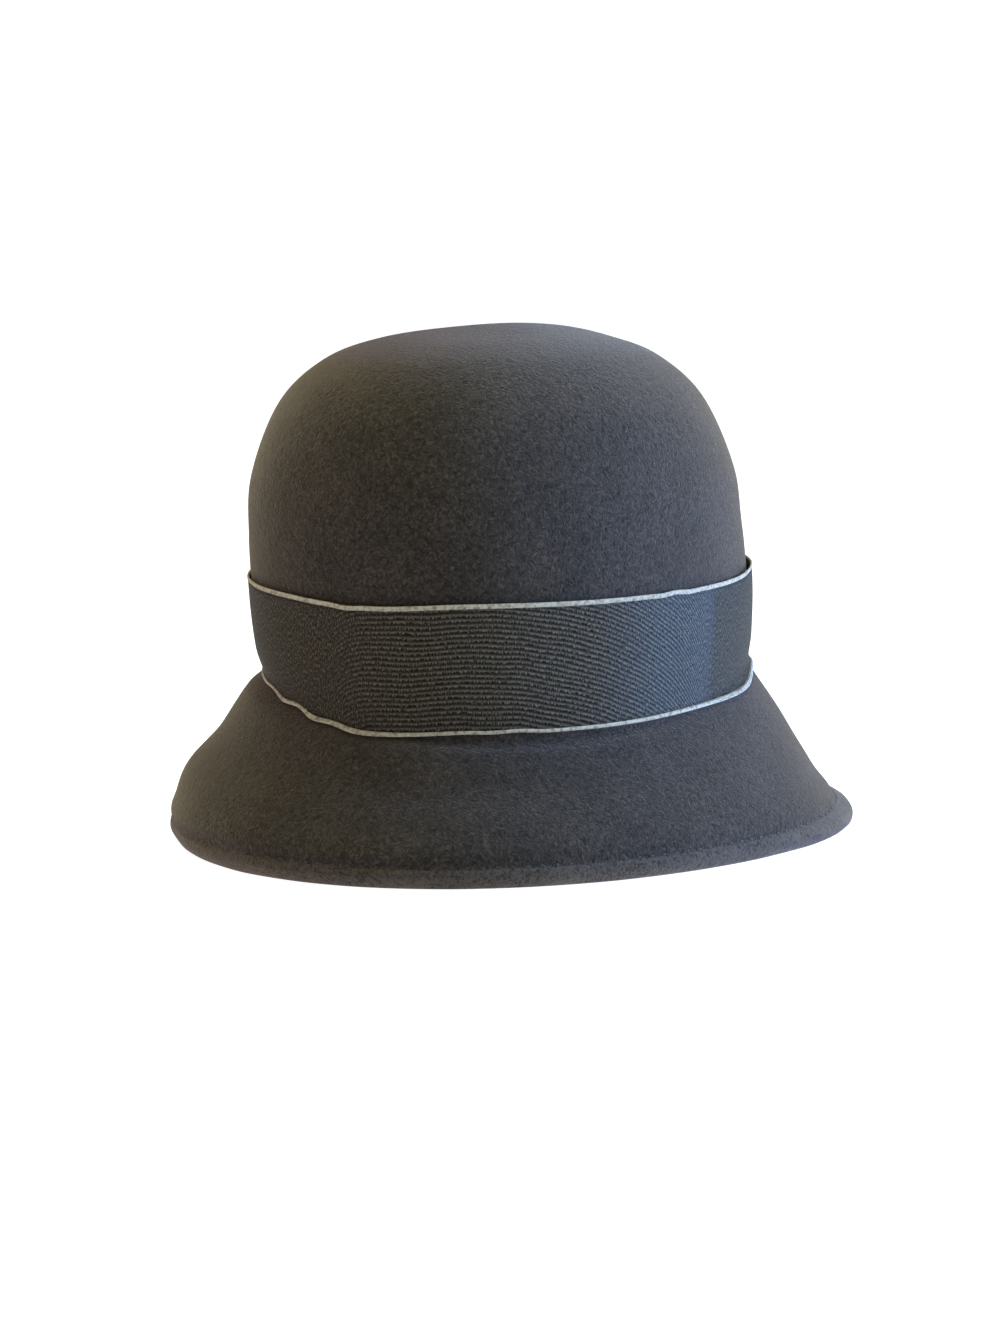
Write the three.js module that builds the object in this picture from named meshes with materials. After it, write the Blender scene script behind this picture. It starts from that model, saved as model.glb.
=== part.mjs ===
// Cloche hat: a blocked wool felt body with a turned hem, and a ribbon band with corded edges.
// Millimetres, +Z up. The hat stands on its brim at Z 0 and its front faces -Y.
// An angle runs round the hat from the front, 0, over +X, 90, to the back, 180.
import * as THREE from 'three';

// Stations round the hat, the same for every piece, so that nested faces stay parallel
const stations = 64;
const degree = Math.PI / 180;

// Felt body
const feltWall = 2.4;
const outerStep = 0.5;
const innerStep = 1;

// Outer face of the felt, a row for each level from the tip of the crown to the rim.
// centre is how far behind the origin the level's oval sits, side, front and back are its
// half axes, and dip is how far the level drops at the band's lowest place.
const sections = [
  { height: 185, centre: 0.6, side: 0, front: 0, back: 0, dip: 0 },
  { height: 183.5, centre: -3.4, side: 20, front: 20.5, back: 29.5, dip: 0 },
  { height: 180, centre: -6.8, side: 41, front: 48, back: 47, dip: 0 },
  { height: 173, centre: -7.8, side: 57.5, front: 69.5, back: 67, dip: 0 },
  { height: 158, centre: -7.4, side: 72.5, front: 87, back: 84.5, dip: 0 },
  { height: 132, centre: -6.4, side: 83, front: 98, back: 96.5, dip: 0 },
  { height: 110, centre: -5.4, side: 84, front: 100.5, back: 101, dip: 0 },
  { height: 88, centre: -3.4, side: 85, front: 99.5, back: 103.5, dip: 1 },
  { height: 70, centre: -2.4, side: 83.5, front: 98, back: 104.5, dip: 7 },
  { height: 60, centre: -1.4, side: 82, front: 96, back: 102.5, dip: 13 },
  { height: 54, centre: -1.4, side: 88, front: 104, back: 103, dip: 13 },
  { height: 40, centre: -0.4, side: 98.5, front: 113.5, back: 110, dip: 9 },
  { height: 26, centre: 1.2, side: 109, front: 129, back: 113, dip: 5 },
  { height: 12, centre: 7.6, side: 117, front: 145, back: 117, dip: 1.5 },
  { height: 0, centre: 20.6, side: 118.2, front: 155.5, back: 119, dip: 0 },
];
const dipAngle = 45 * degree;
const dipPower = 1.2;
const lastWallRing = 12.5;
const lastInnerRing = 12;
const slopeStep = 0.01;
const halvings = 40;

// Turned hem, from the stitched groove outside, over the flat that it rests on, to the edge
// of the turned-in layer inside. inset is measured square to the wall from its outer face.
const hemProfile = [
  { height: 11, inset: 0 },
  { height: 9.2, inset: 0.7 },
  { height: 7.8, inset: 0 },
  { height: 5.2, inset: -0.5 },
  { height: 2.4, inset: -0.2 },
  { height: 0.8, inset: 0.6 },
  { height: 0, inset: 1.8 },
  { height: 0, inset: 4 },
  { height: 0.8, inset: 5 },
  { height: 3, inset: 5.3 },
  { height: 9, inset: 5.1 },
  { height: 11, inset: 4.4 },
  { height: 11.8, inset: 2.5 },
];

// Ribbon band, wound round the foot of the crown
const bandThickness = 1;
const bandGap = 0.35;
const bandRows = [0, 0.25, 0.5, 0.75, 1];
const standOffTop = 0.8;
const standOffFoot = 0.6;
const cordHalfHeight = 1;
const cordHalfDepth = 0.7;
const cordSides = 6;
const cordClearance = 0.3;

// The band's two edges, a row for each angle in degrees, with their heights
const bandEdges = [
  { angle: -180, upper: 95.5, lower: 57.5 },
  { angle: -90, upper: 96, lower: 58.5 },
  { angle: -50, upper: 96, lower: 59.5 },
  { angle: -30, upper: 95.6, lower: 57 },
  { angle: -12, upper: 95.2, lower: 52.2 },
  { angle: 10, upper: 93.7, lower: 47.2 },
  { angle: 35, upper: 95.3, lower: 48.4 },
  { angle: 65, upper: 95.2, lower: 48.5 },
  { angle: 90, upper: 95, lower: 50 },
  { angle: 112, upper: 95, lower: 52.2 },
  { angle: 128, upper: 96, lower: 56.3 },
  { angle: 150, upper: 96, lower: 57.5 },
];

// A row of the section table by its number, with one mirrored row past the tip of the crown
// and one carried straight on past the rim
function sectionRow(index) {
  const last = sections.length - 1;
  if (index < 0) {
    const row = sections[-index];
    return { ...row, side: -row.side, front: -row.front, back: -row.back };
  }
  if (index > last) {
    const row = {};
    for (const key of Object.keys(sections[0])) {
      row[key] = 2 * sections[last][key] - sections[last - 1][key];
    }
    return row;
  }
  return sections[index];
}

// The Catmull-Rom blend of four neighbouring values
function blend(a, b, c, d, t) {
  const straight = 2 * b + (c - a) * t;
  const square = (2 * a - 5 * b + 4 * c - d) * t * t;
  const cube = (3 * b - a - 3 * c + d) * t * t * t;
  return 0.5 * (straight + square + cube);
}

// The level at a place along the table, 0 at the tip of the crown
function sectionAt(place) {
  const index = Math.min(Math.floor(place), sections.length - 2);
  const rows = [-1, 0, 1, 2].map((offset) => sectionRow(index + offset));
  const level = {};
  for (const key of Object.keys(sections[0])) {
    const values = rows.map((row) => row[key]);
    level[key] = blend(...values, place - index);
  }
  return level;
}

// A point of the felt's outer face
function wallPoint(place, angle) {
  const level = sectionAt(place);
  const reach = Math.cos(angle) > 0 ? level.front : level.back;
  const share = Math.max(0, Math.cos(angle - dipAngle)) ** dipPower;
  return new THREE.Vector3(
    level.side * Math.sin(angle),
    level.centre - reach * Math.cos(angle),
    level.height - level.dip * share,
  );
}

// The outward direction of the felt's outer face
function wallNormal(place, angle) {
  const last = sections.length - 1;
  const below = wallPoint(Math.min(place + slopeStep, last), angle);
  const down = below.sub(wallPoint(Math.max(place - slopeStep, 0), angle));
  const ahead = wallPoint(place, angle + slopeStep);
  const along = ahead.sub(wallPoint(place, angle - slopeStep));
  return down.cross(along).normalize();
}

// The place along the table where the wall passes a height, found by halving
function placeAtHeight(height, angle) {
  let above = 1;
  let below = sections.length - 1;
  for (let round = 0; round < halvings; round += 1) {
    const middle = (above + below) / 2;
    if (wallPoint(middle, angle).z > height) {
      above = middle;
    } else {
      below = middle;
    }
  }
  return (above + below) / 2;
}

// A point off the felt's outer face at a height. It moves level with the floor, as far as puts it
// the distance out, measured square to the wall. A negative distance goes into the felt.
function offWall(height, angle, out) {
  const place = placeAtHeight(height, angle);
  const point = wallPoint(place, angle);
  const normal = wallNormal(place, angle);
  const level = Math.hypot(normal.x, normal.y);
  const outward = new THREE.Vector3(normal.x, normal.y, 0).divideScalar(level);
  point.addScaledVector(outward, out / level);
  point.z = height;
  return point;
}

// The height of one edge of the band at an angle, smooth through the table and all the way round
function bandEdge(name, angle) {
  const count = bandEdges.length;
  const knot = (index) => {
    const turn = Math.floor(index / count);
    const row = bandEdges[index - turn * count];
    return { angle: row.angle + 360 * turn, value: row[name] };
  };
  const slope = (index) => {
    const before = knot(index - 1);
    const after = knot(index + 1);
    return (after.value - before.value) / (after.angle - before.angle);
  };
  const first = bandEdges[0].angle;
  const turned = THREE.MathUtils.euclideanModulo(angle / degree - first, 360) + first;
  let index = 0;
  while (knot(index + 1).angle <= turned) {
    index += 1;
  }
  const low = knot(index);
  const high = knot(index + 1);
  const span = high.angle - low.angle;
  const t = (turned - low.angle) / span;
  const rise = (t * t * (3 - 2 * t)) * (high.value - low.value);
  const leave = t * (1 - t) * (1 - t) * slope(index) * span;
  const arrive = t * t * (t - 1) * slope(index + 1) * span;
  return low.value + rise + leave + arrive;
}

// How far the band stands off the felt, at a share of its width from its lower edge
function standOff(share) {
  return bandGap + standOffTop * share ** 2 + standOffFoot * (1 - share) ** 2;
}

// A closed mesh from rings of points. A ring of one point is a pole. Without poles the last
// ring joins the first.
function meshFromRings(rings) {
  const positions = [];
  const starts = [];
  for (const ring of rings) {
    starts.push(positions.length / 3);
    ring.forEach((point) => positions.push(point.x, point.y, point.z));
  }
  const hasPoles = rings[0].length === 1;
  const bands = hasPoles ? rings.length - 1 : rings.length;
  const triangles = [];
  for (let row = 0; row < bands; row += 1) {
    const next = (row + 1) % rings.length;
    for (let station = 0; station < stations; station += 1) {
      const following = (station + 1) % stations;
      const upperLeft = starts[row] + (rings[row].length > 1 ? station : 0);
      const upperRight = starts[row] + (rings[row].length > 1 ? following : 0);
      const lowerLeft = starts[next] + (rings[next].length > 1 ? station : 0);
      const lowerRight = starts[next] + (rings[next].length > 1 ? following : 0);
      if (upperLeft !== upperRight) {
        triangles.push(upperLeft, lowerLeft, upperRight);
      }
      if (lowerLeft !== lowerRight) {
        triangles.push(upperRight, lowerLeft, lowerRight);
      }
    }
  }
  const geometry = new THREE.BufferGeometry();
  geometry.setAttribute('position', new THREE.Float32BufferAttribute(positions, 3));
  geometry.setIndex(triangles);
  geometry.computeVertexNormals();
  return geometry;
}

// One ring of points, a point for each station
function ringOf(pointAt) {
  return Array.from({ length: stations }, (_, station) => pointAt((station / stations) * 2 * Math.PI));
}

// Crown, brim and hem in one hollow piece
function feltBodyGeometry() {
  const tip = wallPoint(0, 0);
  const rings = [[tip]];
  for (let place = outerStep; place <= lastWallRing; place += outerStep) {
    rings.push(ringOf((angle) => wallPoint(place, angle)));
  }
  for (const row of hemProfile) {
    rings.push(ringOf((angle) => offWall(row.height, angle, -row.inset)));
  }
  for (let place = lastInnerRing; place >= innerStep; place -= innerStep) {
    rings.push(ringOf((angle) => {
      const point = wallPoint(place, angle);
      return point.addScaledVector(wallNormal(place, angle), -feltWall);
    }));
  }
  rings.push([tip.clone().setZ(tip.z - feltWall)]);
  return meshFromRings(rings);
}

// The ribbon between its two corded edges, as a closed strip
function bandGeometry() {
  const pointOn = (share, angle, out) => {
    const margin = 2 * cordHalfHeight + cordClearance;
    const low = bandEdge('lower', angle) + margin;
    const high = bandEdge('upper', angle) - margin;
    return offWall(low + (high - low) * share, angle, standOff(share) + out);
  };
  const face = (share, out) => ringOf((angle) => pointOn(share, angle, out));
  const outside = [...bandRows].reverse().map((share) => face(share, bandThickness));
  const inside = bandRows.map((share) => face(share, 0));
  return meshFromRings([...outside, ...inside]);
}

// A corded edge, an oval section swept round the hat along one edge of the ribbon
function cordGeometry(name) {
  const share = name === 'upper' ? 1 : 0;
  const inward = name === 'upper' ? -cordHalfHeight : cordHalfHeight;
  const rings = [];
  for (let side = 0; side < cordSides; side += 1) {
    const turn = (side / cordSides) * 2 * Math.PI;
    const out = standOff(share) + cordHalfDepth * (1 + Math.sin(turn));
    const rise = inward + cordHalfHeight * Math.cos(turn);
    rings.push(ringOf((angle) => offWall(bandEdge(name, angle) + rise, angle, out)));
  }
  return meshFromRings(rings);
}

function makePiece(name, geometry, colour, roughness) {
  const material = new THREE.MeshStandardMaterial({ color: colour, roughness, metalness: 0 });
  const piece = new THREE.Mesh(geometry, material);
  piece.name = name;
  return piece;
}

const hat = new THREE.Group();
hat.add(makePiece('felt_body', feltBodyGeometry(), 0x3d3c3d, 0.95));
hat.add(makePiece('hat_band', bandGeometry(), 0x3a3b3d, 0.55));
hat.add(makePiece('band_edge_upper', cordGeometry('upper'), 0xa9acae, 0.6));
hat.add(makePiece('band_edge_lower', cordGeometry('lower'), 0xa9acae, 0.6));

export default hat;
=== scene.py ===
# %% [markdown]
# # A felt cloche hat, dressed over its CAD model
#
# A cloche is a bell-shaped hat. Its crown and brim are one hood of wool felt, steamed and pulled
# over a wooden block, with the brim's edge turned in and stitched. A ribbon with pale corded edges
# is wound round the foot of the crown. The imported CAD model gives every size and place, and this
# script makes the same pieces again with soft edges, stitches, nap and weave, which the solids lack.

# %% Load the frame
import math

import bpy
import numpy as np
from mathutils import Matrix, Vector


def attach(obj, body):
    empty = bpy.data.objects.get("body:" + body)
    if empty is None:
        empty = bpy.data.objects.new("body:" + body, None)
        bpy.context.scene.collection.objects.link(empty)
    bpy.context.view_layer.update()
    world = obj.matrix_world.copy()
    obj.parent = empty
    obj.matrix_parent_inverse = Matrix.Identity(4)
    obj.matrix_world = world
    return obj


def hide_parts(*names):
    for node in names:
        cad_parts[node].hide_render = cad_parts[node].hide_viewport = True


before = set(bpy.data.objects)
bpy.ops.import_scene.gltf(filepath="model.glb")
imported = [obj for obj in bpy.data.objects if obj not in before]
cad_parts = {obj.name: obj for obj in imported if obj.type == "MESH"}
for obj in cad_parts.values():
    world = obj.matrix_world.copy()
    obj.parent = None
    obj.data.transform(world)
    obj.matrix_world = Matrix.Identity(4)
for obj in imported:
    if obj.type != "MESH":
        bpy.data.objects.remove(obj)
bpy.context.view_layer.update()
MM = 0.001

# %% [markdown]
# ## The hat's measurements
#
# The hat block is described by level ovals, as a block maker cuts templates: each level has a
# height, how far back its centre sits, and how far it reaches to the side, the front and the back.
# `dip` says how far the level sinks at the wearer's front left, where the ribbon sits lowest. A
# smooth curve through the rows gives the whole wall, so that one short table drives every piece.
# The rows are the CAD model's own, in millimetres.

# %% The block's table and the smooth wall through it
# Columns: height, centre, side, front, back, dip
LEVELS = np.array([
    (185, 0.6, 0, 0, 0, 0),
    (183.5, -3.4, 20, 20.5, 29.5, 0),
    (180, -6.8, 41, 48, 47, 0),
    (173, -7.8, 57.5, 69.5, 67, 0),
    (158, -7.4, 72.5, 87, 84.5, 0),
    (132, -6.4, 83, 98, 96.5, 0),
    (110, -5.4, 84, 100.5, 101, 0),
    (88, -3.4, 85, 99.5, 103.5, 1),
    (70, -2.4, 83.5, 98, 104.5, 7),
    (60, -1.4, 82, 96, 102.5, 13),
    (54, -1.4, 88, 104, 103, 13),
    (40, -0.4, 98.5, 113.5, 110, 9),
    (26, 1.2, 109, 129, 113, 5),
    (12, 7.6, 117, 145, 117, 1.5),
    (0, 20.6, 118.2, 155.5, 119, 0),
], float)
DIP_ANGLE = math.radians(45)
DIP_POWER = 1.2
LAST = len(LEVELS) - 1
MIRRORED = LEVELS[1] * (1, 1, -1, -1, -1, 1)
CARRIED_ON = 2 * LEVELS[-1] - LEVELS[-2]
KNOTS = np.vstack([MIRRORED, LEVELS, CARRIED_ON])

# Felt isn't perfectly even after blocking. Each row is a shallow swelling or hollow.
# Columns: angle and its spread in degrees, height, its spread and how far out, in millimetres
UNEVENNESS = np.array([
    (-50, 16, 36, 5, -0.6),
    (-50, 16, 25, 5, 0.8),
    (-50, 20, 15, 4.5, -1.1),
    (132, 26, 18, 6, -0.9),
    (150, 30, 24, 9, 0.5),
    (-130, 26, 26, 9, -0.5),
    (95, 30, 30, 10, -0.3),
    (132, 22, 108, 10, 0.45),
], float)


def turned(degrees, middle):
    """How far an angle lies from the middle one, from -180 to 180 degrees."""
    return (degrees - middle + 180) % 360 - 180


def unevenness(height, angle):
    out = np.zeros(np.broadcast(height, angle).shape)
    for middle, spread, level, rise, size in UNEVENNESS:
        across = turned(np.degrees(angle), middle) / spread
        out += size * np.exp(-across**2 - ((height - level) / rise) ** 2)
    return out


def curve_between(a, b, c, d, t):
    """A point from b to c on the smooth curve through rows a, b, c and d, for t from 0 to 1."""
    return (2 * b + (c - a) * t + (2 * a - 5 * b + 4 * c - d) * t**2 + (3 * b - a - 3 * c + d) * t**3) / 2


def wall(place, angle):
    """Points of the felt's outer face. place counts the table's rows from 0 at the tip of the crown."""
    place, angle = np.broadcast_arrays(np.asarray(place, float), np.asarray(angle, float))
    index = np.clip(np.floor(place).astype(int), 0, LAST - 1)
    row = curve_between(*(KNOTS[index + step] for step in range(4)), (place - index)[..., None])
    height, centre, side, front, back, dip = np.moveaxis(row, -1, 0)
    out = unevenness(height, angle)
    reach = np.where(np.cos(angle) > 0, front, back) + out
    share = np.maximum(0, np.cos(angle - DIP_ANGLE)) ** DIP_POWER
    x = (side + out) * np.sin(angle)
    y = centre - reach * np.cos(angle)
    return np.stack([x, y, height - dip * share], -1)


def outward(place, angle, step=0.01):
    """The direction square to the felt's outer face."""
    down = wall(np.minimum(place + step, LAST), angle) - wall(np.maximum(place - step, 0), angle)
    along = wall(place, angle + step) - wall(place, angle - step)
    normal = np.cross(down, along)
    return normal / np.linalg.norm(normal, axis=-1, keepdims=True)


HALVINGS = 30


def off_wall(height, angle, out):
    """Points at a height, moved level with the floor until they are out mm off the felt. The place
    at that height is found by halving the stretch that holds it."""
    height, angle, out = np.broadcast_arrays(*(np.asarray(v, float) for v in (height, angle, out)))
    above, below = np.full(height.shape, 1.0), np.full(height.shape, float(LAST))
    for _ in range(HALVINGS):
        middle = (above + below) / 2
        higher = wall(middle, angle)[..., 2] > height
        above, below = np.where(higher, middle, above), np.where(higher, below, middle)
    place = (above + below) / 2
    point, normal = wall(place, angle), outward(place, angle)
    level = np.linalg.norm(normal[..., :2], axis=-1)
    point[..., :2] += normal[..., :2] * (out / level**2)[..., None]
    point[..., 2] = height
    return point


print("widest level, mm:", np.ptp(wall(LAST, np.linspace(0, 2 * math.pi, 72)), axis=0).round(1))

# %% [markdown]
# ## From rings of points to a mesh
#
# Everything on this hat runs round it, so each piece is a stack of rings or a few long rows of
# points with faces between neighbours. One helper does that with NumPy, closes the mesh where it
# should be closed, and writes a UV map in millimetres, which the ribbon's weave follows.

# %% The mesh helper
def skin(name, rows, round_it=True, close=False, tip=None, end=None, uv=None):
    """A mesh over rows of points, faces outward where rows run down or over the outside.
    round_it joins each row's ends, or else close joins the last row to the first and fills the
    two flat ends. tip and end are poles."""
    rows = np.asarray(rows) * MM
    count, size = rows.shape[:2]
    points = list(rows.reshape(-1, 3))
    r, s = np.meshgrid(
        np.arange(count if close else count - 1), np.arange(size if round_it else size - 1), indexing="ij"
    )
    below, after = (r + 1) % count, (s + 1) % size
    quads = np.stack([r * size + s, below * size + s, below * size + after, r * size + after], -1)
    faces = quads.reshape(-1, 4).tolist()
    for pole, row, upper in ((tip, 0, True), (end, count - 1, False)):
        if pole is not None:
            points.append(np.asarray(pole) * MM)
            ring = [(row * size + k, row * size + (k + 1) % size) for k in range(size)]
            faces += [(len(points) - 1, a, b) if upper else (len(points) - 1, b, a) for a, b in ring]
    if close:
        for k in range(count // 2 - 1):
            near, far = (k, k + 1, count - 2 - k, count - 1 - k), size - 1
            faces.append(tuple(row * size + far for row in near))
            faces.append(tuple(row * size for row in near[::-1]))
    mesh = bpy.data.meshes.new(name)
    mesh.from_pydata([tuple(p) for p in points], [], faces)
    if uv is not None:
        layer = mesh.uv_layers.new(name="millimetres")
        corner = np.empty(len(mesh.loops), int)
        mesh.loops.foreach_get("vertex_index", corner)
        layer.data.foreach_set("uv", np.asarray(uv).reshape(-1, 2)[corner].ravel())
    return place_mesh(name, mesh)


def place_mesh(name, mesh):
    mesh.polygons.foreach_set("use_smooth", np.ones(len(mesh.polygons), bool))
    mesh.update()
    piece = bpy.data.objects.new(name, mesh)
    bpy.context.scene.collection.objects.link(piece)
    triangles = sum(len(p.vertices) - 2 for p in mesh.polygons)
    print(f"{name}: {len(mesh.vertices)} points, {triangles} triangles")
    return piece


# %% [markdown]
# ## Materials
#
# Each finish is mixed from procedural textures at real sizes. Colours are written as the sRGB hex
# values that a paint card would give, and one function turns them to the linear values that Blender
# mixes with. One more function adds a node with its settings and links, so that each material
# below reads as a recipe, one node to a line. Sums are nodes too: MATH is one step of arithmetic,
# and SOFT_STEP rises smoothly from 0 to 1 between two values.

# %% Colour and node helpers
NOISE, MATH, SOFT_STEP = "ShaderNodeTexNoise", "ShaderNodeMath", "ShaderNodeMapRange"
SOFTLY = {"interpolation_type": "SMOOTHSTEP"}


def hex_colour(code):
    """An sRGB hex value as linear red, green, blue and alpha."""
    parts = [int(code[i : i + 2], 16) / 255 for i in (1, 3, 5)]
    return tuple(c / 12.92 if c <= 0.04045 else ((c + 0.055) / 1.055) ** 2.4 for c in parts) + (1.0,)


def per_mm(size):
    """The scale at which a noise in metres has features of this size in millimetres."""
    return 1000 / size


def add(tree, kind, inputs=None, **settings):
    """A node of that kind. Each input gets a value, a node's output, or a node for its first output."""
    node = tree.nodes.new(kind)
    for key, value in settings.items():
        setattr(node, key, value)
    for key, value in (inputs or {}).items():
        if isinstance(value, bpy.types.Node):
            value = value.outputs[0]
        if isinstance(value, bpy.types.NodeSocket):
            tree.links.new(value, node.inputs[key])
        else:
            node.inputs[key].default_value = value
    return node


def new_material(name, **surface):
    """A material with a Principled shader whose constant settings are given by socket name."""
    material = bpy.data.materials.new(name)
    material.use_nodes = True
    tree = material.node_tree
    tree.nodes.clear()
    shader = add(tree, "ShaderNodeBsdfPrincipled", {k.replace("_", " "): v for k, v in surface.items()})
    add(tree, "ShaderNodeOutputMaterial", {"Surface": shader.outputs[0]})
    return material, tree, shader


# %% [markdown]
# ### Wool felt
#
# Felt is a mat of crimped wool fibres with no weave, brushed after blocking so that a short nap
# stands up. The nap catches light at a glancing angle, which is the sheen that makes a felt hat
# paler round its outline. Close up it is mottled in curled streaks one or two millimetres across,
# where fibres lie in different directions, with thin dark partings between them. One noise warps
# the others so that they curl. The streaks and fibres are two noises, and the partings are the
# places where a third one crosses its middle value. A wide noise makes large, faint patches. A
# real fibre is 0.02 mm thick, so all of it is drawn coarser, to show at all. The nap also gives
# the relief. The hem below its groove is painted paler, a painted highlight for the floor light it catches.

# %% The felt material
FELT_DARK, FELT_MID, FELT_PALE, FELT_SHEEN = "#161413", "#292522", "#423c38", "#a79b91"
# Sizes in millimetres. Contrast, depth and the painted hem light are shares of the way from the dark to the
# pale colour
CURL_SIZE, CURL_REACH = 3.2, 4.0
STREAK_SIZE, FIBRE_SIZE, NAP_CONTRAST = 1.5, 0.8, 1.35
PARTING_SIZE, PARTING_WIDTH, PARTING_DEPTH = 2.6, 0.06, 0.36
PATCH_SIZE, PATCH_DEPTH = 24, 0.35
# Painted light: the hem is painted paler below the groove, for the floor light it catches, from the first
# height down to the second
PAINTED_HEM_LIGHT_TOP, PAINTED_HEM_LIGHT_FULL, PAINTED_HEM_LIGHT_LIFT = 8.2, 7.2, 0.36
NAP_RELIEF = 0.3
# The tone where every noise has its middle value and nine tenths of the felt lies off a parting
TONE_MIDDLE = NAP_CONTRAST + 0.9 * PARTING_DEPTH + PATCH_DEPTH / 2

felt, tree, shader = new_material(
    "wool_felt_brushed", Roughness=0.95, IOR=1.5, Specular_IOR_Level=0.15,
    Sheen_Weight=0.55, Sheen_Roughness=0.4, Sheen_Tint=hex_colour(FELT_SHEEN),
)
where = add(tree, "ShaderNodeTexCoord").outputs["Object"]
curl = add(tree, NOISE, {"Vector": where, "Scale": per_mm(CURL_SIZE), "Detail": 2.0}).outputs["Color"]
curl_way = add(tree, "ShaderNodeVectorMath", {0: curl, 1: (0.5, 0.5, 0.5)}, operation="SUBTRACT")
curl_off = add(tree, "ShaderNodeVectorMath", {0: curl_way, "Scale": CURL_REACH * MM}, operation="SCALE")
curled = add(tree, "ShaderNodeVectorMath", {0: where, 1: curl_off}, operation="ADD")
streak = add(tree, NOISE, {"Vector": curled, "Scale": per_mm(STREAK_SIZE), "Detail": 3.0, "Roughness": 0.6})
fibre = add(tree, NOISE, {"Vector": curled, "Scale": per_mm(FIBRE_SIZE), "Detail": 2.0, "Roughness": 0.6})
parting = add(tree, NOISE, {"Vector": curled, "Scale": per_mm(PARTING_SIZE), "Detail": 1.0})
patch = add(tree, NOISE, {"Vector": where, "Scale": per_mm(PATCH_SIZE), "Detail": 1.0})

off_middle = add(tree, MATH, {0: parting, 1: 0.5}, operation="SUBTRACT")
off_parting = add(tree, MATH, {0: off_middle}, operation="ABSOLUTE")
between = add(tree, SOFT_STEP, {0: off_parting, 1: 0.0, 2: PARTING_WIDTH}, **SOFTLY)
partings = add(tree, MATH, {0: between, 1: PARTING_DEPTH}, operation="MULTIPLY")
streaks = add(tree, MATH, {0: streak, 1: fibre}, operation="ADD")
nap = add(tree, MATH, {0: streaks, 1: NAP_CONTRAST, 2: partings}, operation="MULTIPLY_ADD")
patched = add(tree, MATH, {0: patch, 1: PATCH_DEPTH, 2: nap}, operation="MULTIPLY_ADD")
height = add(tree, "ShaderNodeSeparateXYZ", {0: where}).outputs["Z"]
# Painted light: a paler band painted on the hem below its groove, for the floor light it catches
painted_hem_light_mask = add(tree, SOFT_STEP, {0: height, 1: PAINTED_HEM_LIGHT_TOP * MM, 2: PAINTED_HEM_LIGHT_FULL * MM}, **SOFTLY)
tone = add(tree, MATH, {0: painted_hem_light_mask, 1: PAINTED_HEM_LIGHT_LIFT, 2: patched}, operation="MULTIPLY_ADD")
centred = add(tree, MATH, {0: tone, 1: TONE_MIDDLE - 0.5}, operation="SUBTRACT")
ramp = add(tree, "ShaderNodeValToRGB", {0: centred})
stops = ramp.color_ramp.elements
stops[0].color, stops[1].color = hex_colour(FELT_DARK), hex_colour(FELT_PALE)
stops.new(0.5).color = hex_colour(FELT_MID)
relief = add(tree, "ShaderNodeBump", {"Height": nap, "Strength": 0.8, "Distance": NAP_RELIEF * MM})
tree.links.new(ramp.outputs[0], shader.inputs["Base Color"])
tree.links.new(relief.outputs[0], shader.inputs["Normal"])
print("felt colours:", FELT_DARK, FELT_MID, FELT_PALE)

# %% [markdown]
# ## The felt hood
#
# The real hood is one piece of felt, so it is one closed mesh: down the outside, over the turned
# hem, and up the inside to the crown again. It could be a lathe turned on its axis, but the hat is
# longer than it is wide and leans, so the rings come from the table. The hem is a roll about 8 mm
# deep under a stitched groove, and its raw edge shows inside the brim. Two gentle waves keep the
# roll from looking machined, and it is pressed nearly flat at the left.

# %% The hood's rings
ROUND = 300
ANGLES = np.arange(ROUND) / ROUND * 2 * math.pi
FELT_WALL = 2.4
# The outside ends a little above the hem, and the inside starts from there, in rows of the table
OUTSIDE_PLACES = np.arange(0.1, 12.75, 0.1)[:, None]
INSIDE_PLACES = np.arange(12, 0.9, -0.25)[:, None]

# Columns: height, and how far in from the outer face, measured square to it, in millimetres
HEM = np.array([
    (12.6, 0.1), (11.2, 0.35), (10, 0.6), (8.9, 0.75), (8.1, 0.8), (7.3, 0.5), (6.6, -0.3),
    (5.6, -0.9), (4.4, -1.2), (2.8, -1.0), (1.4, -0.4), (0.5, 0.3), (0, 1.3), (0, 4), (0.8, 5),
    (3, 5.3), (8, 5.1), (10, 4.4), (10.8, 2.5),
])
OUTER_FACE = 1.2  # rows of the hem that lie less than this far in are on its outer face


def smooth_rows(rows, steps):
    """Rows with more between them, on one smooth curve that passes through each."""
    padded = np.vstack([2 * rows[0] - rows[1], rows, 2 * rows[-1] - rows[-2]])
    fours = zip(padded, padded[1:], padded[2:], padded[3:])
    made = [curve_between(*four, t) for four in fours for t in np.arange(steps) / steps]
    return np.array(made + [rows[-1]])


outside = wall(OUTSIDE_PLACES, ANGLES)
hem_rows = smooth_rows(HEM, 3)
hem_height, hem_in = np.maximum(hem_rows[:, :1], 0), hem_rows[:, 1:]
flattened = np.exp(-((turned(np.degrees(ANGLES), -60) / 35) ** 2))
hem_swell = 1 + 0.12 * np.sin(17 * ANGLES + 1) + 0.1 * np.sin(29 * ANGLES + 2) - 0.55 * flattened
hem = off_wall(hem_height, ANGLES, -np.where(hem_in < OUTER_FACE, hem_in * hem_swell, hem_in))
inside = wall(INSIDE_PLACES, ANGLES) - FELT_WALL * outward(INSIDE_PLACES, ANGLES)
tip = wall(0, 0)
hood = skin("felt_hood", np.vstack([outside, hem, inside]), tip=tip, end=tip - (0, 0, FELT_WALL))
hood.data.materials.append(felt)

# %% [markdown]
# ## The ribbon's path
#
# The ribbon is a flat strip about 38 mm wide between its corded edges. It is wound once round the
# hat and its end lapped over its start, at the back right, where the join isn't seen from the
# front. Its two edges are two height curves round the hat, from the CAD model, with small ripples
# where the strip has been eased round the curve of the brim. One function gives any point of it,
# so that the cords and stitches lie on it exactly.

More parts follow.
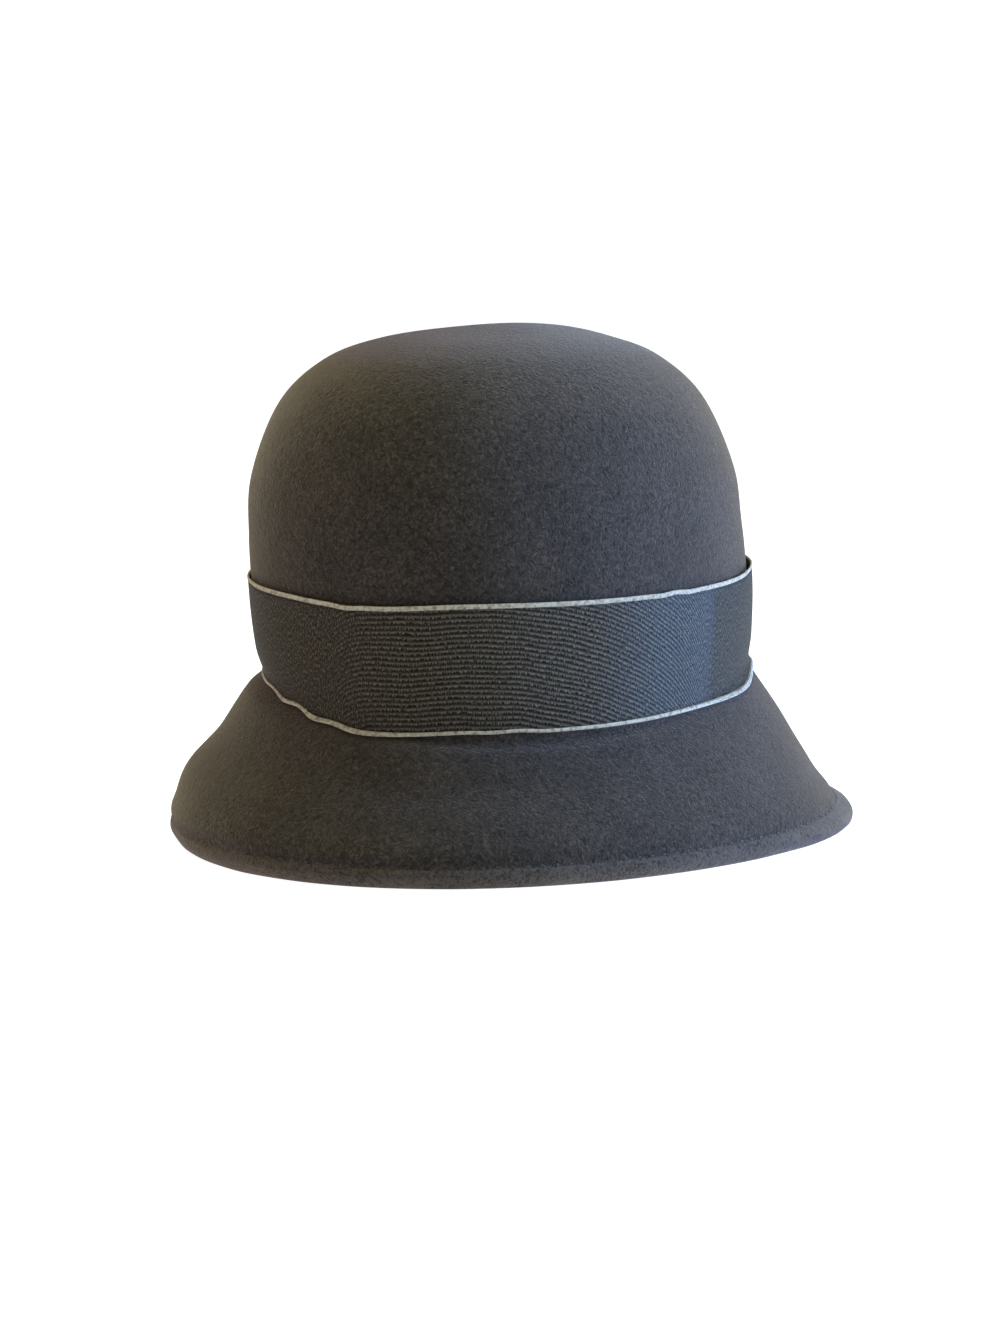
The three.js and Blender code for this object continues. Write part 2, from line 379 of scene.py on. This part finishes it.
# %% Heights of the ribbon's edges
# Columns: angle in degrees, upper and lower edge's height in millimetres
EDGES = np.array([
    (-180, 95.5, 57.5), (-90, 96, 58.5), (-50, 96, 59.5), (-30, 95.6, 57), (-12, 95.2, 52.2),
    (10, 93.7, 47.2), (35, 95.3, 48.4), (65, 95.2, 48.5), (90, 95, 50), (112, 95, 52.2),
    (128, 96, 56.3), (150, 96, 57.5),
], float)
UPPER, LOWER = 1, 2

# Ripples of an edge. Columns: which edge, middle, spread and length in degrees, and height in mm
RIPPLES = np.array([
    (LOWER, -14, 16, 14.5, 0.55),
    (LOWER, 45, 9, 16, 0.3),
    (UPPER, 6, 5, 14, -0.35),
    (UPPER, 84, 5, 12, 0.4),
    (LOWER, 170, 22, 19, 0.4),
    (LOWER, -120, 25, 21, 0.4),
    (UPPER, -110, 30, 31, 0.3),
], float)


def edge_height(column, degrees):
    """The height of one edge at angles in degrees, smooth all the way round."""
    at = np.concatenate([EDGES[:, 0] - 360, EDGES[:, 0], EDGES[:, 0] + 360])
    level = np.tile(EDGES[:, column], 3)
    slope = np.pad((level[2:] - level[:-2]) / (at[2:] - at[:-2]), 1)
    degrees = turned(degrees, 0)
    low = np.clip(np.searchsorted(at, degrees, side="right") - 1, 0, len(at) - 2)
    span = at[low + 1] - at[low]
    t = (degrees - at[low]) / span
    height = level[low] + t * t * (3 - 2 * t) * (level[low + 1] - level[low])
    height += t * (1 - t) ** 2 * slope[low] * span + t * t * (t - 1) * slope[low + 1] * span
    for edge, middle, spread, length, size in RIPPLES:
        if edge == column:
            across = turned(degrees, middle)
            height = height + size * np.cos(across / length * 2 * math.pi) * np.exp(-((across / spread) ** 2))
    return height


# %% A point anywhere on the ribbon
JOIN = 215.0  # the angle where the ribbon starts, in degrees
LAP, RISING = 9.0, 3.5  # how far its end laps over its start, and how long it rises before that
LAP_STEP = 0.75
RIBBON_THICKNESS = 0.6
BAND_OUTER = 1.35


def stand_off(share, degrees):
    """How far the ribbon's outer face stands off the felt, at a share of its width from below.
    Both its edges lean out a little, but hug the felt where it is pulled round the left side."""
    pulled = np.exp(-((turned(degrees, -60) / 30) ** 2))
    return BAND_OUTER + 0.8 * share**2 + 0.6 * (1 - share) ** 2 - pulled * (0.4 + 3 * (share - 0.45) ** 2)


def lap_rise(run):
    """How far the lapped end stands over the start. run is in degrees from the ribbon's start."""
    t = np.clip((run - 360 + RISING) / RISING, 0, 1)
    return LAP_STEP * t * t * (3 - 2 * t)


def ribbon_point(share, run, out=0.0, rise=0.0):
    """A point at a share of the width and run degrees along, out mm off the outer face."""
    degrees = run + JOIN
    low, high = edge_height(LOWER, degrees), edge_height(UPPER, degrees)
    height = low + (high - low) * share + rise
    return off_wall(height, np.radians(degrees), stand_off(share, degrees) + lap_rise(run) + out)


RUN = np.linspace(0, 360 + LAP, 740)
middle_line = ribbon_point(0.5, RUN)
ALONG = np.concatenate([[0], np.cumsum(np.linalg.norm(np.diff(middle_line, axis=0), axis=1))])
print("ribbon's cut length, mm:", ALONG[-1].round(1))

# %% [markdown]
# ### Watered ribbon
#
# The ribbon is woven of fine satin-bright yarn with ribs across its width, about 0.75 mm apart,
# coarser than real ones so that they show. It shows a watered figure as well: fine lines about
# 1.6 mm apart, level in the middle of the figure and drooping beyond it, gently at first and
# steeply at the ends. Watering is made by pressing two layers of ribbed cloth together, so it
# belongs to the surface and follows the ribbon's own UV map. The lines come from the height across
# the ribbon plus the droop. A slow noise makes them wander, and a fine one, which stands for the
# yarns, breaks them up. They fade at the figure's ends. Past its middle a soft bluish painted sheen,
# a painted reflection of a blue window, is added to its colour. The figure comes twice round the hat.

# %% The ribbon's colours and figure, in millimetres
# The last colour is a painted sheen: a bluish painted reflection added to the cloth's colour
RIBBON_DARK, RIBBON_MID, RIBBON_PALE, PAINTED_SHEEN_COLOUR = "#0b0a08", "#2c2924", "#5a554d", "#141f28"
FIGURE_CENTRE = float(np.interp(360 + 35 - JOIN, RUN, ALONG))
FIGURE_LENGTH = float(ALONG[-1] / 2)
LINE_PITCH, RIB_PITCH = 1.57, 0.75
SHORTER_SIDE = 1.84  # how much shorter the figure is before its middle than after it
GENTLE_DROOP, GENTLE_POWER = 0.0033, 2.0
STEEP_DROOP, STEEP_FROM, STEEP_POWER = 4.4, 91.0, 9.0
WANDER, BREAK_UP = 2.2, 2.1  # how far the two noises move a line
FADE_IN, FADE_OUT = (-66.0, -20.0), (107.0, 97.0)
# Where the painted sheen, a painted reflection, comes in, fades out and drops, along the figure
PAINTED_SHEEN_IN, PAINTED_SHEEN_OUT = (39.0, 78.0), (150.0, 100.0)
PAINTED_SHEEN_DROP, PAINTED_SHEEN_LOSS = (103.0, 109.0), 0.75
LINE_TONE, RIB_TONE, YARN_TONE = 0.3, 0.04, 2.2
LINE_RELIEF, RIB_RELIEF, RELIEF_DEPTH = 0.5, 0.2, 0.12
print("watered figure every", round(FIGURE_LENGTH), "mm, lines", LINE_PITCH, "mm apart")

# %% The ribbon material
ribbon_cloth, tree, shader = new_material(
    "watered_ribbon_woven", Roughness=0.55, IOR=1.5, Specular_IOR_Level=0.02
)
uv = add(tree, "ShaderNodeUVMap", uv_map="millimetres")
axis = add(tree, "ShaderNodeSeparateXYZ", {0: uv})
along, across = axis.outputs["X"], axis.outputs["Y"]
wander = add(tree, NOISE, {"Vector": uv, "Scale": 0.045, "Detail": 1.5, "Roughness": 0.5})
stretched = add(tree, "ShaderNodeMapping", {"Vector": uv, "Scale": (1.9, 0.9, 1.0)})
yarn_noise = add(tree, NOISE, {"Vector": stretched, "Scale": 1.0, "Detail": 2.0, "Roughness": 0.7})
yarn = add(tree, MATH, {0: yarn_noise, 1: 0.5}, operation="SUBTRACT")

# Where a point lies in the figure: its distance from the middle, and how far out that is
offset = add(tree, MATH, {0: along, 1: FIGURE_CENTRE}, operation="SUBTRACT")
from_centre = add(tree, MATH, {0: offset, 1: FIGURE_LENGTH / 2, 2: -FIGURE_LENGTH / 2}, operation="WRAP")
after_centre = add(tree, MATH, {0: from_centre, 1: 0.0}, operation="MAXIMUM")
before_centre = add(tree, MATH, {0: from_centre, 1: -SHORTER_SIDE}, operation="MULTIPLY")
reach = add(tree, MATH, {0: from_centre, 1: before_centre}, operation="MAXIMUM")

# The height across the ribbon with the droop and both noises added, then lines along it
gentle = add(tree, MATH, {0: after_centre, 1: GENTLE_POWER}, operation="POWER")
level = add(tree, MATH, {0: gentle, 1: GENTLE_DROOP, 2: across}, operation="MULTIPLY_ADD")
share_out = add(tree, MATH, {0: reach, 1: STEEP_FROM}, operation="DIVIDE")
steep = add(tree, MATH, {0: share_out, 1: STEEP_POWER}, operation="POWER")
level = add(tree, MATH, {0: steep, 1: STEEP_DROOP, 2: level}, operation="MULTIPLY_ADD")
level = add(tree, MATH, {0: wander, 1: WANDER, 2: level}, operation="MULTIPLY_ADD")
level = add(tree, MATH, {0: yarn, 1: BREAK_UP, 2: level}, operation="MULTIPLY_ADD")
phase = add(tree, MATH, {0: level, 1: 2 * math.pi / LINE_PITCH}, operation="MULTIPLY")
wave = add(tree, MATH, {0: phase}, operation="SINE")
fade_out = add(tree, SOFT_STEP, {0: reach, 1: FADE_OUT[0], 2: FADE_OUT[1]}, **SOFTLY)
fade_in = add(tree, SOFT_STEP, {0: from_centre, 1: FADE_IN[0], 2: FADE_IN[1]}, **SOFTLY)
strength = add(tree, MATH, {0: fade_out, 1: fade_in}, operation="MULTIPLY")
figure = add(tree, MATH, {0: wave, 1: strength}, operation="MULTIPLY")
rib_phase = add(tree, MATH, {0: along, 1: 2 * math.pi / RIB_PITCH}, operation="MULTIPLY")
rib = add(tree, MATH, {0: rib_phase}, operation="SINE")

# The cloth's colour from the lines, the ribs and the yarns
tone = add(tree, MATH, {0: figure, 1: LINE_TONE, 2: 0.5}, operation="MULTIPLY_ADD")
tone = add(tree, MATH, {0: rib, 1: RIB_TONE, 2: tone}, operation="MULTIPLY_ADD")
tone = add(tree, MATH, {0: yarn, 1: YARN_TONE, 2: tone}, operation="MULTIPLY_ADD")
ramp = add(tree, "ShaderNodeValToRGB", {0: tone})
stops = ramp.color_ramp.elements
stops[0].color, stops[1].color = hex_colour(RIBBON_DARK), hex_colour(RIBBON_PALE)
stops.new(0.5).color = hex_colour(RIBBON_MID)

# The painted sheen, a bluish painted reflection added to the colour, comes in past the figure's middle, drops
# sharply once and then fades out
painted_sheen_rising = add(tree, SOFT_STEP, {0: from_centre, 1: PAINTED_SHEEN_IN[0], 2: PAINTED_SHEEN_IN[1]}, **SOFTLY)
painted_sheen_falling = add(tree, SOFT_STEP, {0: from_centre, 1: PAINTED_SHEEN_OUT[0], 2: PAINTED_SHEEN_OUT[1]}, **SOFTLY)
painted_sheen_past = add(tree, SOFT_STEP, {0: from_centre, 1: PAINTED_SHEEN_DROP[0], 2: PAINTED_SHEEN_DROP[1]}, **SOFTLY)
painted_sheen_left = add(tree, MATH, {0: painted_sheen_past, 1: -PAINTED_SHEEN_LOSS, 2: 1.0}, operation="MULTIPLY_ADD")
glow = add(tree, MATH, {0: painted_sheen_falling, 1: painted_sheen_left}, operation="MULTIPLY")
glow = add(tree, MATH, {0: painted_sheen_rising, 1: glow}, operation="MULTIPLY")
MIX_FACTOR, MIX_FIRST, MIX_SECOND, MIX_RESULT = 0, 6, 7, 2  # the Mix node's sockets for colours
with_painted_sheen = add(
    tree, "ShaderNodeMix", {MIX_FACTOR: glow, MIX_FIRST: ramp, MIX_SECOND: hex_colour(PAINTED_SHEEN_COLOUR)},
    data_type="RGBA", blend_type="ADD",
)

# The relief, of the same lines, ribs and yarns
height = add(tree, MATH, {0: rib, 1: RIB_RELIEF, 2: yarn}, operation="MULTIPLY_ADD")
height = add(tree, MATH, {0: figure, 1: LINE_RELIEF, 2: height}, operation="MULTIPLY_ADD")
relief = add(tree, "ShaderNodeBump", {"Height": height, "Strength": 1.0, "Distance": RELIEF_DEPTH * MM})
tree.links.new(with_painted_sheen.outputs[MIX_RESULT], shader.inputs["Base Color"])
tree.links.new(relief.outputs[0], shader.inputs["Normal"])
print("ribbon material:", len(tree.nodes), "nodes")

# %% [markdown]
# ## The ribbon
#
# The strip is made as a thin closed sheet, an outer row of points and an inner one, with its two
# short ends closed too. Its UV map runs in millimetres along and across it, as the strip would lie
# on a table, so that ribs stay square to its edges all the way round.

# %% The ribbon's mesh
SHARES = np.linspace(0.03, 0.97, 17)
WOVEN_WIDTH = 40


def strip(name, section, uv_across):
    """A long closed piece from a section, a list of point functions, carried along the ribbon."""
    lines = np.array([point(RUN) for point in section])
    uvs = np.stack(np.broadcast_arrays(ALONG, np.asarray(uv_across)[:, None]), -1)
    return skin(name, lines, round_it=False, close=True, uv=uvs)


outer = [lambda r, s=s: ribbon_point(s, r) for s in SHARES[::-1]]
inner = [lambda r, s=s: ribbon_point(s, r, out=-RIBBON_THICKNESS) for s in SHARES]
across_mm = np.concatenate([SHARES[::-1], SHARES]) * WOVEN_WIDTH
ribbon = strip("ribbon", outer + inner, across_mm)
ribbon.data.materials.append(ribbon_cloth)

# %% [markdown]
# ### Selvedge yarn
#
# Each edge of the ribbon is a pale cord, where the crossing yarn turns back over a thick thread.
# The turns show as fine ribs 0.85 mm apart. The yarn is a pale warm grey, a little dull, with
# streaks where its strands lie. It is darker in the gaps between turns, which the geometry gives by
# itself. The sewing thread of the stitches is nearly black and has a slight shine.

# %% The pale yarn and the dark thread
YARN_PALE, YARN_SHADE = "#9a9589", "#5a564e"
THREAD_PALE, THREAD_SHADE = "#1d1d1f", "#121213"
STRAND_SIZE, STRAND_RELIEF, PLY_SIZE = 1.4, 0.08, 0.5

pale_yarn, tree, shader = new_material(
    "selvedge_yarn_pale", Roughness=0.7, IOR=1.5, Specular_IOR_Level=0.1,
    Sheen_Weight=0.1, Sheen_Roughness=0.4,
)
where = add(tree, "ShaderNodeTexCoord").outputs["Object"]
strands = add(tree, NOISE, {"Vector": where, "Scale": per_mm(STRAND_SIZE), "Detail": 3.0, "Roughness": 0.6})
ramp = add(tree, "ShaderNodeValToRGB", {0: strands})
stops = ramp.color_ramp.elements
stops[0].color, stops[1].color = hex_colour(YARN_SHADE), hex_colour(YARN_PALE)
stops[0].position, stops[1].position = 0.3, 0.55
relief = add(tree, "ShaderNodeBump", {"Height": strands, "Strength": 0.5, "Distance": STRAND_RELIEF * MM})
tree.links.new(ramp.outputs[0], shader.inputs["Base Color"])
tree.links.new(relief.outputs[0], shader.inputs["Normal"])

dark_thread, tree, shader = new_material(
    "sewing_thread_dark", Roughness=0.55, IOR=1.5, Specular_IOR_Level=0.4,
    Sheen_Weight=0.2, Sheen_Roughness=0.4,
)
where = add(tree, "ShaderNodeTexCoord").outputs["Object"]
ply = add(tree, NOISE, {"Vector": where, "Scale": per_mm(PLY_SIZE), "Detail": 2.0})
ramp = add(tree, "ShaderNodeValToRGB", {0: ply})
stops = ramp.color_ramp.elements
stops[0].color, stops[1].color = hex_colour(THREAD_SHADE), hex_colour(THREAD_PALE)
tree.links.new(ramp.outputs[0], shader.inputs["Base Color"])
print("yarn colours:", YARN_PALE, YARN_SHADE, "thread colours:", THREAD_PALE, THREAD_SHADE)

# %% [markdown]
# ## Beads along a line
#
# The turns of yarn on a selvedge and the stitches of a seam are the same task: one small shape set
# again and again along a line on the hat. A Geometry Nodes tree does it. The line is a chain of
# points that each know which way is off the felt, and how full a bead is there. The tree spaces
# points along it, sets an oval bead on each, turned to lie along the line with its flat side to
# the felt, and makes the result real, since the export drops instances.

# %% The tree that repeats a bead along a line
BEAD_INPUTS = (
    ("Spacing", "NodeSocketFloat"), ("Bead Size", "NodeSocketVector"), ("Unevenness", "NodeSocketFloat"),
    ("Seed", "NodeSocketInt"), ("Material", "NodeSocketMaterial"),
)


def bead_tree():
    tree = bpy.data.node_groups.new("beads_along_a_line", "GeometryNodeTree")
    face = tree.interface
    face.new_socket("Geometry", in_out="INPUT", socket_type="NodeSocketGeometry")
    for name, kind in BEAD_INPUTS:
        face.new_socket(name, in_out="INPUT", socket_type=kind)
    face.new_socket("Geometry", in_out="OUTPUT", socket_type="NodeSocketGeometry")
    given = add(tree, "NodeGroupInput").outputs

    # Points along the line, each with its direction
    line = add(tree, "GeometryNodeMeshToCurve", {"Mesh": given["Geometry"]})
    spaced = add(
        tree, "GeometryNodeResampleCurve", {"Curve": line, "Length": given["Spacing"]}, mode="LENGTH"
    )
    off_felt = add(tree, "GeometryNodeInputNamedAttribute", {"Name": "off_felt"}, data_type="FLOAT_VECTOR")
    onward = add(tree, "GeometryNodeInputTangent")
    turn = add(
        tree, "FunctionNodeAxesToRotation",
        {"Primary Axis": onward, "Secondary Axis": off_felt.outputs["Attribute"]},
        primary_axis="X", secondary_axis="Z",
    )

    # One bead, and how its size varies from point to point
    ball = add(tree, "GeometryNodeMeshUVSphere", {"Segments": 8, "Rings": 5, "Radius": 0.5})
    bead = add(tree, "GeometryNodeTransform", {"Geometry": ball, "Scale": given["Bead Size"]})
    least = add(tree, MATH, {0: 1.0, 1: given["Unevenness"]}, operation="SUBTRACT")
    most = add(tree, MATH, {0: 1.0, 1: given["Unevenness"]}, operation="ADD")
    varied = add(tree, "FunctionNodeRandomValue", {"Min": least, "Max": most, "Seed": given["Seed"]})
    size = [socket for socket in varied.outputs if socket.enabled][0]
    fullness = add(tree, "GeometryNodeInputNamedAttribute", {"Name": "fullness"}, data_type="FLOAT")
    across = add(tree, "ShaderNodeCombineXYZ", {0: 1.0, 1: fullness.outputs["Attribute"], 2: 1.0})
    fitted = add(tree, "ShaderNodeVectorMath", {0: across, "Scale": size}, operation="SCALE")

    # A bead on each point, made real
    beads_set = add(
        tree, "GeometryNodeInstanceOnPoints",
        {"Points": spaced, "Instance": bead, "Rotation": turn, "Scale": fitted},
    )
    real = add(tree, "GeometryNodeRealizeInstances", {"Geometry": beads_set})
    smooth = add(tree, "GeometryNodeSetShadeSmooth", {"Geometry": real})
    finished = add(tree, "GeometryNodeSetMaterial", {"Geometry": smooth, "Material": given["Material"]})
    add(tree, "NodeGroupOutput", {"Geometry": finished})
    return tree


BEADS = bead_tree()


def grown(name, source, tree, settings):
    """The plain mesh that a tree grows from the source object, whose own mesh is then dropped."""
    sockets = {item.name: item.identifier for item in tree.interface.items_tree if item.in_out == "INPUT"}
    modifier = source.modifiers.new("grow", "NODES")
    modifier.node_group = tree
    for key, value in settings.items():
        modifier[sockets[key]] = value
    graph = bpy.context.evaluated_depsgraph_get()
    mesh = bpy.data.meshes.new_from_object(source.evaluated_get(graph))
    source.modifiers.clear()
    bpy.data.objects.remove(source)
    return place_mesh(name, mesh)


def beads(name, line, off_felt, spacing, size, unevenness, seed, material, fullness=1.0):
    """Oval beads along a line. size is along it, across it and off the felt, all in millimetres,
    and fullness is the share of the size across that a bead has at each of the line's points."""
    mesh = bpy.data.meshes.new(name + "_line")
    edges = [(k, k + 1) for k in range(len(line) - 1)]
    mesh.from_pydata([tuple(p) for p in line * MM], edges, [])
    layer = mesh.attributes.new("off_felt", "FLOAT_VECTOR", "POINT")
    layer.data.foreach_set("vector", np.asarray(off_felt, np.float32).ravel())
    layer = mesh.attributes.new("fullness", "FLOAT", "POINT")
    layer.data.foreach_set("value", np.broadcast_to(np.float32(fullness), len(line)).copy())
    source = bpy.data.objects.new(name + "_line", mesh)
    bpy.context.scene.collection.objects.link(source)
    return grown(name, source, BEADS, {
        "Spacing": spacing * MM, "Bead Size": tuple(v * MM for v in size),
        "Unevenness": unevenness, "Seed": seed, "Material": material})


print("bead tree nodes:", len(BEADS.nodes))

# %% [markdown]
# ## The corded edges
#
# Each edge has a core that fills it and a turn of yarn every 0.85 mm over the core. The core is an
# oval section carried along the ribbon's edge, and the turns are beads a little larger than it.
# The cords are slimmer at the left, where the ribbon is pulled tight, and at the back right.

# %% Core and turns of each edge
CORD_DEPTH, TURN_PITCH = 0.9, 0.85
TURN_LENGTH = TURN_PITCH * 1.08  # a turn is longer than its pitch, so that neighbours touch
CORD_MIDDLE = -0.2  # how far the cord's middle stands off the ribbon's outer face
CORE_SHARE = 0.42  # the core's half width and half depth, as shares of the cord's
# Columns: name, share of the ribbon's width, which way is inward, and the cord's full height in mm
CORDS = (("ribbon_edge_upper", 1.0, -1.0, 2.0), ("ribbon_edge_lower", 0.0, 1.0, 1.7))


def level_outward(points):
    """Directions off the hat, level with the floor, for a line of points that runs round it."""
    along = np.gradient(points, axis=0)
    out = np.stack([along[:, 1], -along[:, 0], np.zeros(len(points))], -1)
    return out / np.linalg.norm(out, axis=1, keepdims=True)


def cord_fullness(degrees):
    """The cord's height as a share of its fullest."""
    left, right = turned(degrees, -62) / 34, turned(degrees, 138) / 26
    return 1 - 0.35 * np.exp(-(left**2)) - 0.3 * np.exp(-(right**2))


cords = {}
fullness = cord_fullness(RUN + JOIN)
section_turns = np.linspace(0, 2 * math.pi, 10, endpoint=False)
for name, share, inward, full in CORDS:
    rise = inward * full * fullness / 2
    section = [
        lambda run, turn=turn: ribbon_point(
            share, run,
            out=CORD_MIDDLE + CORE_SHARE * CORD_DEPTH * math.sin(turn),
            rise=rise + CORE_SHARE * full * fullness * math.cos(turn),
        )
        for turn in section_turns
    ]
    core = strip(name + "_core", section, section_turns)
    core.data.materials.append(pale_yarn)
    line = ribbon_point(share, RUN, out=CORD_MIDDLE, rise=rise)
    turn_size = (TURN_LENGTH, full, CORD_DEPTH)
    wraps = beads(
        name + "_turns", line, level_outward(line), TURN_PITCH, turn_size, 0.06, 3, pale_yarn, fullness
    )
    cords[name] = (core, wraps)

# %% [markdown]
# ## Stitches
#
# A row of small stitches holds the turned hem, about 5 mm apart, each sunk in the groove so that it
# reads as a dark dot. The ribbon's lapped end is caught down with a short row of its own.

# %% Hem and lap stitches
GROOVE_HEIGHT, GROOVE_DEPTH = 8.1, 0.72
HEM_STITCH, HEM_SPACING = (1.8, 0.55, 0.5), 5.2
LAP_STITCH, LAP_SPACING, LAP_INSET = (1.6, 0.45, 0.35), 3.2, 1.0

hem_run = np.linspace(0, 2 * math.pi, 720, endpoint=False)
hem_line = off_wall(GROOVE_HEIGHT, hem_run, -GROOVE_DEPTH)
hem_stitches = beads(
    "hem_stitches", hem_line, level_outward(hem_line), HEM_SPACING, HEM_STITCH, 0.2, 5, dark_thread
)

lap_line = ribbon_point(np.linspace(0.06, 0.94, 60), 360 + LAP - LAP_INSET, out=0.05)
lap_out = np.repeat(level_outward(ribbon_point(0.5, RUN[-8:]))[-1:], len(lap_line), axis=0)
lap_stitches = beads("lap_stitches", lap_line, lap_out, LAP_SPACING, LAP_STITCH, 0.1, 7, dark_thread)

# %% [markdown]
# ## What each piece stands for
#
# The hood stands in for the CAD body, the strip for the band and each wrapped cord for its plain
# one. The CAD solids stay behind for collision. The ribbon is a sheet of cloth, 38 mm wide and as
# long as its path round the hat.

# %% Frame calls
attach(hood, "root")
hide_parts("felt_body")
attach(ribbon, "root")
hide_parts("hat_band")
for name, node in (("ribbon_edge_upper", "band_edge_upper"), ("ribbon_edge_lower", "band_edge_lower")):
    for piece in cords[name]:
        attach(piece, "root")
    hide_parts(node)
for piece, slot in ((hem_stitches, "felt"), (lap_stitches, "ribbon")):
    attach(piece, "root")

# %% [markdown]
# ## Floor, light and camera
#
# The hat stands on a plain white floor that glows a little, like a light table, in an even white
# room, so no shadow falls. A soft blue window and a low, strong, pale one stand to its right, and
# a weak warm lamp to its left, so that both flanks of the felt glow and the middle stays dark. Two
# wide, slightly warm lights, above and behind, lift the crown and its outline. The camera is far
# off with a long lens, a little above the brim, which keeps the brim's far side just hidden.

# %% Floor and room
FLOOR_SIZE = 30.0
floor = bpy.data.objects.new("floor", bpy.data.meshes.new("floor"))
corners = [(x * FLOOR_SIZE, y * FLOOR_SIZE, 0.0) for x, y in ((-1, -1), (1, -1), (1, 1), (-1, 1))]
floor.data.from_pydata(corners, [], [(0, 1, 2, 3)])
bpy.context.scene.collection.objects.link(floor)
paper, tree, shader = new_material(
    "light_table_white", Roughness=0.9, Specular_IOR_Level=0.1, Base_Color=hex_colour("#959595"),
    Emission_Color=hex_colour("#ffffff"), Emission_Strength=0.97)
floor.data.materials.append(paper)

ROOM_GLOW, ROOM_DIM = 1.03, 0.06
world = bpy.data.worlds.new("white_room")
world.use_nodes = True
tree = world.node_tree
sky = add(tree, "ShaderNodeSeparateXYZ", {0: add(tree, "ShaderNodeTexCoord").outputs["Generated"]})
glow = add(tree, "ShaderNodeMapRange", {
    "Value": sky.outputs["Z"], "From Min": 0.18, "From Max": 0.4, "To Min": ROOM_GLOW, "To Max": ROOM_DIM},
    **SOFTLY)
tree.links.new(glow.outputs[0], tree.nodes["Background"].inputs["Strength"])
tree.nodes["Background"].inputs["Color"].default_value = hex_colour("#ffffff")
bpy.context.scene.world = world
bpy.context.scene.view_settings.view_transform = "Standard"

# %% Camera
AZIMUTH, ELEVATION = math.radians(37), math.radians(8.8)
DISTANCE = 1540 * MM
AIM_RIGHT, AIM_HEIGHT = -2.24 * MM, 58.0 * MM
IMAGE_HEIGHT, FOCAL_PIXELS, SENSOR = 1333, 4151, 36.0

picture_right = Vector((math.cos(AZIMUTH), math.sin(AZIMUTH), 0))
away = Vector((math.sin(AZIMUTH), -math.cos(AZIMUTH), 0))
toward_camera = away * math.cos(ELEVATION) + Vector((0, 0, math.sin(ELEVATION)))
aim = picture_right * AIM_RIGHT + Vector((0, 0, AIM_HEIGHT))
camera = bpy.data.objects.new("camera", bpy.data.cameras.new("camera"))
camera.data.sensor_width = SENSOR
camera.data.lens = FOCAL_PIXELS * SENSOR / IMAGE_HEIGHT
camera.data.clip_start, camera.data.clip_end = 0.05, 100
camera.location = aim + toward_camera * DISTANCE
camera.rotation_mode = "QUATERNION"
camera.rotation_quaternion = (-toward_camera).to_track_quat("-Z", "Y")
bpy.context.scene.collection.objects.link(camera)
bpy.context.scene.camera = camera
print("lens, mm:", round(camera.data.lens, 1))

# %% Soft lights
LIGHTS_AIM = Vector((0, 0, 90 * MM))
# Columns: name, metres right, towards the camera and up, width, height, watts, colour
LIGHTS = [
    ("window_right", 1.3, -0.08, 0.45, 0.6, 1.2, 30, "#1c6eff"),
    ("window_low_right", 1.3, 0.1, 0.15, 0.6, 0.6, 58, "#b9ddff"),
    ("lamp_low_left", -1.3, 0.1, 0.15, 0.6, 0.6, 5, "#ff9a5c"),
    ("room_above", 0.0, 0.0, 1.5, 1.4, 1.4, 33, "#fbffce"),
    ("room_behind", 0.0, -1.1, 1.1, 1.2, 1.2, 7, "#fff0a0"),
]
for name, right, near, up, width, tall, watts, colour in LIGHTS:
    lamp = bpy.data.lights.new(name, "AREA")
    lamp.shape, lamp.size, lamp.size_y, lamp.energy = "RECTANGLE", width, tall, watts
    lamp.color = hex_colour(colour)[:3]
    holder = bpy.data.objects.new(name, lamp)
    holder.location = picture_right * right + away * near + Vector((0, 0, up))
    holder.rotation_mode = "QUATERNION"
    holder.rotation_quaternion = (LIGHTS_AIM - holder.location).to_track_quat("-Z", "Y")
    bpy.context.scene.collection.objects.link(holder)
